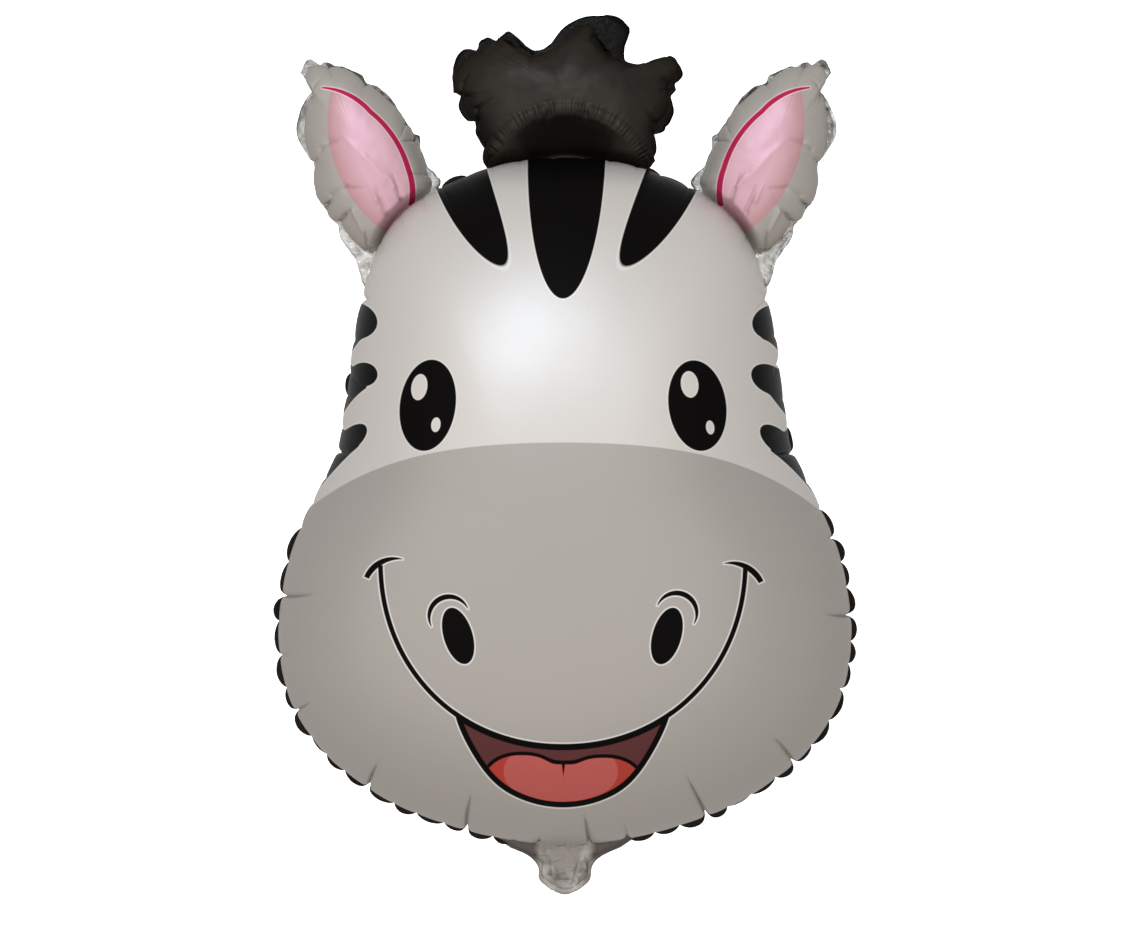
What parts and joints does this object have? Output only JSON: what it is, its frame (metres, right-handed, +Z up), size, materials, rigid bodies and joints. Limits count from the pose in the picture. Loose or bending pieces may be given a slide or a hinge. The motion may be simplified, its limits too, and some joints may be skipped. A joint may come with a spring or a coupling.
{
  "type": "zebra head foil balloon",
  "caption": "Inflated foil balloon shaped as a cartoon zebra's head with swollen ears and a black mane, lying on its back, with a flat filling neck to tie or hold it by.",
  "frame": {"origin": "centre of the underside of the bounding box, on the floor that the balloon lies on", "axes": "+Y is the length, from the filling neck to the mane; +Z is up, out of the face; +X is to the right of the picture seen from above"},
  "size_m": [0.4972, 0.7499, 0.276],
  "materials": {
    "printed_foil": "satin pearl foil print"
  },
  "bodies": {
    "root": {"foil_envelope": "printed_foil"}
  },
  "joints": []
}
